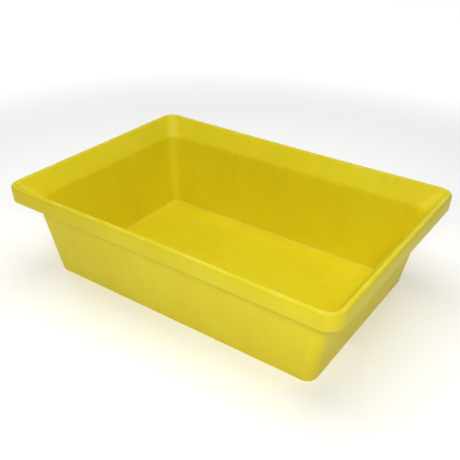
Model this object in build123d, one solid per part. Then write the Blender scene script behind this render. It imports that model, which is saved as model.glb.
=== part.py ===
from build123d import *
import math
import os

# One-piece moulded spill tray, in millimetres.
# X runs along the long side, Y along the short side and Z up.
# The origin is on the ground, under the middle of the tray.
# An inset is measured inwards from the outermost face of the lip.

# Driving dimensions
LENGTH = 600            # over the lip, along X
WIDTH = 420             # over the lip, along Y
HEIGHT = 170            # from the ground to the top of the rim
SKIN = 3.5              # thickness of the plastic
LIP_DROP = 27           # height of the turned-down lip
LIP_LEAN = 1.0          # how far the lip's lower edge leans in
CREASE_DROP = 33        # from the top of the rim to the crease of the inner wall
WALL_INSET_TOP = 26.5   # outer face of the wall, level with the crease
WALL_INSET_GROUND = 50  # the same at the ground, where the wall has leaned in
RIM_WIDTH = 8           # from the lip's face to where the flare starts down

# Corner radii seen from above, on the outer face of the skin
LIP_CORNER = 25
WALL_CORNER_TOP = 28
WALL_CORNER_GROUND = 17

# Radii of the bends seen in section
RIM_OUTER_BEND = 5.0    # from the top of the rim to the lip
RIM_INNER_BEND = 4.0    # from the top of the rim to the flare
CREASE_BEND = 20.0      # from the flare to the inner wall
BASE_BEND = 9.0         # from the outer wall to the underside
LIP_EDGE_ROUND = 1.2    # on both sides of the lip's lower edge

# Worked out from them
LIP_EDGE_Z = HEIGHT - LIP_DROP
CREASE_Z = HEIGHT - CREASE_DROP
LIP_TOP_INSET = -LIP_LEAN * RIM_OUTER_BEND / (LIP_DROP - RIM_OUTER_BEND)
WALL_SLOPE = (WALL_INSET_GROUND - WALL_INSET_TOP) / CREASE_Z
SKIN_ACROSS_WALL = SKIN * math.hypot(1, WALL_SLOPE)
CREASE_INSET = WALL_INSET_TOP + SKIN_ACROSS_WALL
FLARE_SLOPE = (CREASE_INSET - RIM_WIDTH) / CREASE_DROP
SKIN_ACROSS_FLARE = SKIN * math.hypot(1, FLARE_SLOPE)


def wall_inset(z):
    """Inset of the wall's outer face at the height z."""
    return WALL_INSET_GROUND - WALL_SLOPE * z


def flare_inset(z):
    """Inset of the flare's lower face at the height z."""
    return CREASE_INSET - SKIN_ACROSS_FLARE - FLARE_SLOPE * (z - CREASE_Z)


def wall_corner(z):
    """Corner radius of the wall's outer face at the height z."""
    share = z / CREASE_Z
    return WALL_CORNER_GROUND + share * (WALL_CORNER_TOP - WALL_CORNER_GROUND)


def outline(inset, corner, z):
    """Rounded rectangle that lies at the height z."""
    shape = RectangleRounded(LENGTH - 2 * inset, WIDTH - 2 * inset, corner)
    return (Pos(0, 0, z) * shape).face()


def block(*levels):
    """Solid with straight sides between outlines, each given as inset, corner and height."""
    outlines = [outline(*level) for level in levels]
    layers = [loft([low, high], ruled=True) for low, high in zip(outlines, outlines[1:])]
    return layers[0].fuse(*layers[1:]) if layers[1:] else layers[0]


def ring(solid, z, inset):
    """The closed ring of edges that lies flat at the height z, with the given inset."""
    reach = LENGTH / 2 - inset

    def on_ring(edge):
        box = edge.bounding_box()
        flat = abs(box.min.Z - z) < 1e-3 and abs(box.max.Z - z) < 1e-3
        along_x = abs(max(abs(box.min.Y), abs(box.max.Y)) - (WIDTH / 2 - inset)) < 1e-3
        along_y = abs(max(abs(box.min.X), abs(box.max.X)) - reach) < 1e-3
        return flat and (along_x or along_y)

    return solid.edges().filter_by(on_ring)


def hollow():
    """The space inside the tray, from its floor to the top of the rim."""
    floor_inset = wall_inset(SKIN) + SKIN_ACROSS_WALL
    floor = (floor_inset, wall_corner(SKIN) - SKIN, SKIN)
    crease = (CREASE_INSET, WALL_CORNER_TOP - SKIN, CREASE_Z)
    rim = (RIM_WIDTH, LIP_CORNER - RIM_WIDTH, HEIGHT)
    space = block(floor, crease, rim)
    space = fillet(ring(space, CREASE_Z, CREASE_INSET), CREASE_BEND)
    return fillet(ring(space, SKIN, floor_inset), BASE_BEND - SKIN)


def body():
    """The outer walls up to the crease, then the lower face of the flare."""
    meet_z = CREASE_Z - (SKIN_ACROSS_FLARE - SKIN_ACROSS_WALL) / (FLARE_SLOPE - WALL_SLOPE)
    top_z = HEIGHT - SKIN
    ground = (WALL_INSET_GROUND, WALL_CORNER_GROUND, 0)
    crease = (wall_inset(meet_z), WALL_CORNER_TOP, meet_z)
    top = (flare_inset(top_z), LIP_CORNER - SKIN, top_z)
    solid = block(ground, crease, top)
    solid = fillet(ring(solid, meet_z, wall_inset(meet_z)), CREASE_BEND - SKIN)
    return fillet(ring(solid, 0, WALL_INSET_GROUND), BASE_BEND)


def lip():
    """The turned-down lip with the top of the rim, as a lid that is open below."""
    outside = block((LIP_LEAN, LIP_CORNER, LIP_EDGE_Z), (LIP_TOP_INSET, LIP_CORNER, HEIGHT))
    under = block(
        (LIP_LEAN + SKIN, LIP_CORNER - SKIN, LIP_EDGE_Z),
        (SKIN, LIP_CORNER - SKIN, HEIGHT - SKIN),
    )
    return outside - under


def spill_tray():
    """The whole moulding: one skin of plastic."""
    tray = lip() + body() - hollow()
    tray = fillet(ring(tray, HEIGHT, LIP_TOP_INSET), RIM_OUTER_BEND)
    tray = fillet(ring(tray, HEIGHT, RIM_WIDTH), RIM_INNER_BEND)
    edge = ring(tray, LIP_EDGE_Z, LIP_LEAN) + ring(tray, LIP_EDGE_Z, LIP_LEAN + SKIN)
    return fillet(edge, LIP_EDGE_ROUND)


os.makedirs("parts", exist_ok=True)
export_step(spill_tray(), "parts/spill_tray.step")
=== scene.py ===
import math

import bmesh
import bpy
from mathutils import Matrix, Vector


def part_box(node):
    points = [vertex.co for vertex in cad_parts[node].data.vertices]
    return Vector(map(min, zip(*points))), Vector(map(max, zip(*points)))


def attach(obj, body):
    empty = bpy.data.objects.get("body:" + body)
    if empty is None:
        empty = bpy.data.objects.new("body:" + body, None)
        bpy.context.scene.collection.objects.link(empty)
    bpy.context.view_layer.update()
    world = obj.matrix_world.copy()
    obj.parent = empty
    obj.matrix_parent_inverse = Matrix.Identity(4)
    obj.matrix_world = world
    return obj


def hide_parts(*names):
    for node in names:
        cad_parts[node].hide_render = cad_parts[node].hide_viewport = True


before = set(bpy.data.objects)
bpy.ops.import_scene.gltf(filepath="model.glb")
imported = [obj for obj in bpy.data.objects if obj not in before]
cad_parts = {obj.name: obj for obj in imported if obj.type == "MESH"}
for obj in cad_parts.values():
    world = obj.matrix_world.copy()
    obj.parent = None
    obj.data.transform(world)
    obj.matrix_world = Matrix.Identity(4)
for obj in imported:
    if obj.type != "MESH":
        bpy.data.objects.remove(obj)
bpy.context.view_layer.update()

# A one-piece moulded spill tray. Lengths are in metres.
# An inset is measured inwards from the outermost face of the lip.
MM = 0.001

lowest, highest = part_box("spill_tray")
LENGTH = highest.x - lowest.x
WIDTH = highest.y - lowest.y
HEIGHT = highest.z

SKIN = 3.5 * MM
LIP_EDGE_Z = 143 * MM
CREASE_Z = 137 * MM

# Outlines of the upper face of the skin, from the floor out to the lip's lower edge:
# inset, corner radius and height, where the flat faces would meet without their bends.
FLOOR_EDGE = (52.95 * MM, 13.8 * MM, SKIN)
CREASE = (30.05 * MM, 24.5 * MM, CREASE_Z)
RIM_INSIDE = (8.0 * MM, 17.0 * MM, HEIGHT)
RIM_OUTSIDE = (-0.23 * MM, 25.0 * MM, HEIGHT)
LIP_EDGE = (1.0 * MM, 25.0 * MM, LIP_EDGE_Z)

# Radii of the bends on that face, and how many strips each is made of
FLOOR_BEND = (5.5 * MM, 8)
CREASE_BEND = (20.0 * MM, 8)
RIM_INSIDE_BEND = (4.0 * MM, 8)
RIM_OUTSIDE_BEND = (5.0 * MM, 10)
LIP_EDGE_ROUND = 1.2 * MM

CORNER_STRIPS = 14
CUT_SPACING = 20 * MM
RIM_BOW = 2.5 * MM        # how far the middle of a long side of the rim is drawn in
END_BOW = 0.5 * MM        # the same on a short side
BOW_CLEAR = 30 * MM       # at each end of a side, where the corner stays as it is

TABLE_RADIUS = 8.0
TABLE_DROP = 0.5 * MM     # how far the table lies below the tray, so that they never share a face


# ---------------------------------------------------------------- the moulding

def outline(mesh, inset, corner, z):
    """A rounded rectangle with one face, lying flat at the height z."""
    made = bmesh.ops.create_grid(mesh, x_segments=1, y_segments=1, size=0.5)
    verts = made["verts"]
    bmesh.ops.scale(mesh, vec=(LENGTH - 2 * inset, WIDTH - 2 * inset, 1), verts=verts)
    bmesh.ops.translate(mesh, vec=(0, 0, z), verts=verts)
    rounded = bmesh.ops.bevel(
        mesh, geom=verts, offset=corner, offset_type="OFFSET", affect="VERTICES",
        segments=CORNER_STRIPS, profile=0.5, material=-1, clamp_overlap=False,
    )
    touching = {face for vert in rounded["verts"] for face in vert.link_faces}
    return max(touching, key=lambda face: face.calc_area())


def turn_between(before, here, after):
    """The angle by which the section turns at the middle one of three outlines."""
    first = Vector((before[0] - here[0], here[2] - before[2]))
    second = Vector((here[0] - after[0], after[2] - here[2]))
    return first.angle(second)


def bend(mesh, edges, turn, size):
    """Rounds a ring of edges to a radius."""
    radius, strips = size
    bmesh.ops.bevel(
        mesh, geom=edges, offset=radius * math.tan(turn / 2), offset_type="OFFSET",
        affect="EDGES", segments=strips, profile=0.5, material=-1, clamp_overlap=False,
    )


def cut_straight_sides(mesh):
    """Cuts across the straight stretches of floor, walls and rim, so that they can bow."""
    inset, corner, _ = FLOOR_EDGE
    for axis, size in ((Vector((1, 0, 0)), LENGTH), (Vector((0, 1, 0)), WIDTH)):
        reach = size / 2 - inset - corner
        cuts = int(reach / CUT_SPACING)
        for step in range(-cuts, cuts + 1):
            everything = mesh.verts[:] + mesh.edges[:] + mesh.faces[:]
            bmesh.ops.bisect_plane(
                mesh, geom=everything, dist=1e-6, plane_co=axis * step * reach / cuts,
                plane_no=axis,
            )


def bow(mesh):
    """Draws the sides of the rim in a little at their middle, as if the moulding had shrunk."""
    def share(along, reach):
        """From 1 at the middle of a side to 0 at its ends."""
        part = min(abs(along) / reach, 1)
        return (1 - part ** 2) ** 2

    for vert in mesh.verts:
        x, y, z = vert.co
        height = (z / HEIGHT) ** 1.5
        side = abs(y) / (WIDTH / 2)
        end = abs(x) / (LENGTH / 2)
        in_y = RIM_BOW * height * side ** 2 * share(x, LENGTH / 2 - BOW_CLEAR)
        in_x = END_BOW * height * end ** 2 * share(y, WIDTH / 2 - BOW_CLEAR)
        vert.co.y -= math.copysign(in_y, y)
        vert.co.x -= math.copysign(in_x, x)


def moulding():
    """The upper face of the skin, as one sheet from the floor to the lip's lower edge."""
    mesh = bmesh.new()
    sections = [FLOOR_EDGE, CREASE, RIM_INSIDE, RIM_OUTSIDE, LIP_EDGE]
    faces = [outline(mesh, *section) for section in sections]
    rings = [list(face.edges) for face in faces]
    bmesh.ops.delete(mesh, geom=faces[1:], context="FACES_ONLY")
    for inner, outer in zip(rings, rings[1:]):
        bmesh.ops.bridge_loops(mesh, edges=inner + outer)
    sizes = [FLOOR_BEND, CREASE_BEND, RIM_INSIDE_BEND, RIM_OUTSIDE_BEND]
    centre = (LENGTH / 2, 0, SKIN)
    for before, here, after, ring, size in zip(
        [centre] + sections, sections, sections[1:], rings, sizes
    ):
        bend(mesh, ring, turn_between(before, here, after), size)
    cut_straight_sides(mesh)
    bow(mesh)
    bmesh.ops.remove_doubles(mesh, verts=mesh.verts[:], dist=1e-6)
    bmesh.ops.recalc_face_normals(mesh, faces=mesh.faces[:])
    middle = min(mesh.faces, key=lambda face: face.calc_center_median().length)
    if middle.normal.z < 0:
        bmesh.ops.reverse_faces(mesh, faces=mesh.faces[:])
    for face in mesh.faces:
        face.smooth = True
    return mesh


def spill_tray():
    """The tray: the moulded sheet, given its thickness and a rounded lower edge."""
    mesh = moulding()
    data = bpy.data.meshes.new("tray")
    mesh.to_mesh(data)
    mesh.free()
    piece = bpy.data.objects.new("tray", data)
    bpy.context.scene.collection.objects.link(piece)

    skin = piece.modifiers.new("skin", "SOLIDIFY")
    skin.thickness = SKIN
    skin.offset = -1
    skin.use_even_offset = True
    skin.use_quality_normals = True

    lip_edge = piece.modifiers.new("lip_edge", "BEVEL")
    lip_edge.width = LIP_EDGE_ROUND
    lip_edge.segments = 4
    lip_edge.limit_method = "ANGLE"
    lip_edge.angle_limit = math.radians(60)

    even = piece.modifiers.new("even_shading", "WEIGHTED_NORMAL")
    even.keep_sharp = True
    return piece


# ---------------------------------------------------------------- the plastic

def node(tree, kind, inputs=None, **settings):
    """Adds a node, sets its settings, and sets or links its inputs."""
    made = tree.nodes.new(kind)
    for name, value in settings.items():
        setattr(made, name, value)
    for name, value in (inputs or {}).items():
        if isinstance(value, bpy.types.NodeSocket):
            tree.links.new(value, made.inputs[name])
        else:
            made.inputs[name].default_value = value
    return made


def noise(tree, place, scale, detail=3.0, rough=0.5, stretch=(1, 1, 1), turn=0.0):
    """Noise from 0 to 1, turned about Z and stretched along an axis if wanted."""
    where = node(
        tree, "ShaderNodeMapping",
        {"Vector": place, "Rotation": (0, 0, turn), "Scale": stretch},
    )
    made = node(
        tree, "ShaderNodeTexNoise",
        {"Vector": where.outputs[0], "Scale": scale, "Detail": detail, "Roughness": rough},
    )
    return made.outputs["Fac"]


def spread(tree, value, low, high, to_low=0.0, to_high=1.0):
    """Maps low..high to to_low..to_high, smoothly and held at the ends."""
    made = node(
        tree, "ShaderNodeMapRange",
        {
            "Value": value, "From Min": low, "From Max": high,
            "To Min": to_low, "To Max": to_high,
        },
        interpolation_type="SMOOTHSTEP",
    )
    return made.outputs["Result"]


def combine(tree, operation, first, second=0.0):
    """One step of arithmetic on two values."""
    made = node(tree, "ShaderNodeMath", {0: first, 1: second}, operation=operation)
    return made.outputs[0]


def tinted(tree, share, first, second):
    """The first colour, with that share of the second one over it."""
    made = node(tree, "ShaderNodeMix", {0: share, 6: first, 7: second}, data_type="RGBA")
    return made.outputs[2]


def bumped(tree, height, distance, strength=1.0, under=None):
    """A bump, laid over the one under it."""
    inputs = {"Height": height, "Distance": distance, "Strength": strength}
    if under is not None:
        inputs["Normal"] = under
    return node(tree, "ShaderNodeBump", inputs).outputs[0]


def inset_from_lip(tree, axes):
    """How far a point lies inside the tray's outermost outline."""
    across = combine(tree, "SUBTRACT", LENGTH / 2, combine(tree, "ABSOLUTE", axes["X"]))
    deep = combine(tree, "SUBTRACT", WIDTH / 2, combine(tree, "ABSOLUTE", axes["Y"]))
    return combine(tree, "MINIMUM", across, deep)


def scratches(tree, place, turn):
    """Fine straight marks that run one way."""
    marks = noise(tree, place, 420, 2, 0.5, (1, 0.035, 1), turn)
    patches = spread(tree, noise(tree, place, 14, 2), 0.48, 0.66)
    return combine(tree, "MULTIPLY", spread(tree, marks, 0.66, 0.72), patches)


def yellow_polyethylene():
    """Moulded plastic with faint clouding, flow lines, grain, lightly worn edges and a painted
    highlight along the rim.
    """
    material = bpy.data.materials.new("yellow_polyethylene")
    material.use_nodes = True
    tree = material.node_tree
    plastic = tree.nodes["Principled BSDF"]
    place = node(tree, "ShaderNodeTexCoord").outputs["Object"]
    axes = node(tree, "ShaderNodeSeparateXYZ", {"Vector": place}).outputs
    height = axes["Z"]
    inset = inset_from_lip(tree, axes)

    # Paler where the plastic is rubbed: the crown of the rim, the lip's lower edge and the base.
    # On the crown and the lip's lower edge the paler tint is also a painted highlight.
    crown = spread(tree, height, HEIGHT - 3 * MM, HEIGHT - 0.5 * MM)
    near_edge = spread(tree, height, LIP_EDGE_Z + 0.8 * MM, LIP_EDGE_Z + 2.5 * MM, 1, 0)
    on_lip = spread(tree, inset, 8 * MM, 12 * MM, 1, 0)
    lip_edge = combine(tree, "MULTIPLY", near_edge, on_lip)
    base = spread(tree, height, 0.8 * MM, 3.0 * MM, 1, 0)
    rubbed_and_sheen = combine(tree, "MAXIMUM", combine(tree, "MAXIMUM", crown, lip_edge), base)
    patches = spread(tree, noise(tree, place, 38, 4, 0.65), 0.45, 0.72)
    wear_and_sheen = combine(tree, "MULTIPLY", rubbed_and_sheen, patches)

    # Inside, the floor is scratched by what stands on it, and dust settles along its edge
    above_skin = spread(tree, height, SKIN - 0.8 * MM, SKIN - 0.3 * MM)
    low_down = spread(tree, height, SKIN + 0.3 * MM, SKIN + 0.8 * MM, 1, 0)
    on_floor = combine(tree, "MULTIPLY", above_skin, low_down)
    marks = combine(
        tree, "MAXIMUM", scratches(tree, place, 0.5),
        combine(tree, "MAXIMUM", scratches(tree, place, 1.9), scratches(tree, place, -0.7)),
    )
    floor_marks = combine(tree, "MULTIPLY", marks, on_floor)
    edge_band = combine(
        tree, "MULTIPLY", spread(tree, inset, 50 * MM, 62 * MM, 1, 0),
        spread(tree, height, SKIN + 1 * MM, SKIN + 9 * MM, 1, 0),
    )
    in_corner = combine(tree, "MULTIPLY", edge_band, above_skin)
    dust = combine(tree, "MULTIPLY", in_corner, spread(tree, noise(tree, place, 25, 5), 0.4, 0.7))

    clouds = noise(tree, place, 9, 3)
    flow = noise(tree, place, 55, 3, 0.6, (1, 1, 0.05))
    specks = noise(tree, place, 1400, 2, 0.5)
    grain = noise(tree, place, 750, 4, 0.6)
    peel = noise(tree, place, 160, 2, 0.5)
    waves = noise(tree, place, 16, 1, 0.4)

    yellow = (0.80, 0.68, 0.012, 1)
    deep_yellow = (0.78, 0.645, 0.008, 1)
    dark_yellow = (0.70, 0.57, 0.010, 1)
    pale_yellow = (0.86, 0.78, 0.20, 1)
    dust_brown = (0.52, 0.42, 0.10, 1)
    colour = tinted(tree, spread(tree, clouds, 0.35, 0.65), yellow, deep_yellow)
    colour = tinted(tree, spread(tree, flow, 0.45, 0.8, 0, 0.35), colour, dark_yellow)
    colour = tinted(tree, spread(tree, specks, 0.62, 0.75, 0, 0.25), colour, dark_yellow)
    # Pale tint of rubbed plastic, which on the crown and the lip's lower edge is also a painted
    # highlight
    colour = tinted(tree, combine(tree, "MULTIPLY", wear_and_sheen, 0.45), colour, pale_yellow)
    colour = tinted(tree, combine(tree, "MULTIPLY", floor_marks, 0.35), colour, pale_yellow)
    colour = tinted(tree, combine(tree, "MULTIPLY", dust, 0.30), colour, dust_brown)

    rough = spread(tree, clouds, 0.3, 0.7, 0.44, 0.52)
    rough = combine(tree, "ADD", rough, combine(tree, "MULTIPLY", wear_and_sheen, 0.12))
    rough = combine(tree, "ADD", rough, combine(tree, "MULTIPLY", floor_marks, 0.15))
    rough = combine(tree, "ADD", rough, combine(tree, "MULTIPLY", dust, 0.20))
    tree.links.new(colour, plastic.inputs["Base Color"])
    tree.links.new(rough, plastic.inputs["Roughness"])
    plastic.inputs["IOR"].default_value = 1.45
    plastic.inputs["Specular IOR Level"].default_value = 0.3

    shape = bumped(tree, waves, 0.8 * MM, 0.5)
    shape = bumped(tree, flow, 0.12 * MM, 0.6, shape)
    shape = bumped(tree, peel, 0.05 * MM, 0.6, shape)
    shape = bumped(tree, grain, 0.03 * MM, 0.6, shape)
    shape = bumped(tree, combine(tree, "SUBTRACT", 1.0, floor_marks), 0.05 * MM, 0.6, shape)
    tree.links.new(shape, plastic.inputs["Normal"])
    return material


# ---------------------------------------------------------------- the studio

def studio_floor():
    """A round table of white paper, which glows more far off, to meet the white room."""
    mesh = bmesh.new()
    bmesh.ops.create_circle(mesh, cap_ends=True, segments=64, radius=TABLE_RADIUS)
    bmesh.ops.translate(mesh, vec=(0, 0, -TABLE_DROP), verts=mesh.verts[:])
    data = bpy.data.meshes.new("studio_floor")
    mesh.to_mesh(data)
    mesh.free()
    floor = bpy.data.objects.new("studio_floor", data)
    bpy.context.scene.collection.objects.link(floor)
    paper = bpy.data.materials.new("white_paper")
    paper.use_nodes = True
    tree = paper.node_tree
    surface = tree.nodes["Principled BSDF"]
    place = node(tree, "ShaderNodeTexCoord").outputs["Object"]
    away = node(tree, "ShaderNodeVectorMath", {0: place}, operation="LENGTH").outputs["Value"]
    glow = spread(tree, away, 0.8, 1.7, 0.34, 0.91)
    surface.inputs["Base Color"].default_value = (0.88, 0.88, 0.88, 1)
    surface.inputs["Roughness"].default_value = 0.9
    surface.inputs["Emission Color"].default_value = (1, 1, 1, 1)
    tree.links.new(glow, surface.inputs["Emission Strength"])
    data.materials.append(paper)


def softbox(name, place, aim, size, watts):
    """A flat lamp aimed at a point. The camera doesn't see the lamp itself."""
    light = bpy.data.lights.new(name, "AREA")
    light.shape = "RECTANGLE"
    light.size, light.size_y = size
    light.energy = watts
    lamp = bpy.data.objects.new(name, light)
    lamp.location = place
    lamp.rotation_euler = (Vector(aim) - Vector(place)).to_track_quat("-Z", "Y").to_euler()
    lamp.visible_camera = False
    bpy.context.scene.collection.objects.link(lamp)


def white_room():
    """A room that looks white behind the tray, and gives it only a little light."""
    world = bpy.data.worlds.new("white_room")
    world.use_nodes = True
    tree = world.node_tree
    room = tree.nodes["Background"]
    seen = node(tree, "ShaderNodeLightPath").outputs["Is Camera Ray"]
    room.inputs["Color"].default_value = (1, 1, 1, 1)
    tree.links.new(spread(tree, seen, 0, 1, 0.05, 0.95), room.inputs["Strength"])
    bpy.context.scene.world = world


def studio_light():
    """Soft light from the left, behind and above. The thin front strip shades below the lip."""
    white_room()
    middle = (0, 0, 0.1)
    softbox("left", (-1.5, 0, 1.6), middle, (1.2, 1.2), 6)
    softbox("low_left", (-2.0, 0, 0.8), middle, (2.0, 1.2), 3)
    softbox("low_back", (0, 2.0, 0.8), middle, (2.0, 1.2), 8)
    softbox("overhead", (0, 0, 1.2), middle, (1.0, 1.0), 8)
    softbox("front", (0.54, -0.79, 0.73), middle, (0.35, 0.02), 4.6)


def camera():
    """Looks down at the tray over its right front corner."""
    azimuth, elevation, roll = (math.radians(a) for a in (34.47, 30.23, 0.99))
    aim = Vector((-10.64, 14.40, 80.0)) * MM
    distance = 1127.5 * MM
    back = Vector((
        math.sin(azimuth) * math.cos(elevation),
        -math.cos(azimuth) * math.cos(elevation),
        math.sin(elevation),
    ))
    right = (-back).cross(Vector((0, 0, 1))).normalized()
    up = back.cross(right)
    across = right * math.cos(roll) + up * math.sin(roll)
    upright = up * math.cos(roll) - right * math.sin(roll)
    view = bpy.data.objects.new("camera", bpy.data.cameras.new("camera"))
    view.data.lens = 51.62
    view.data.sensor_width = 36
    view.data.clip_start = 0.01
    turned = Matrix((across, upright, back)).transposed().to_4x4()
    view.matrix_world = Matrix.Translation(aim + back * distance) @ turned
    bpy.context.scene.collection.objects.link(view)
    bpy.context.scene.camera = view


tray = spill_tray()
tray.data.materials.append(yellow_polyethylene())
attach(tray, "root")
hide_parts("spill_tray")

studio_floor()
studio_light()
camera()
bpy.context.scene.view_settings.view_transform = "Standard"
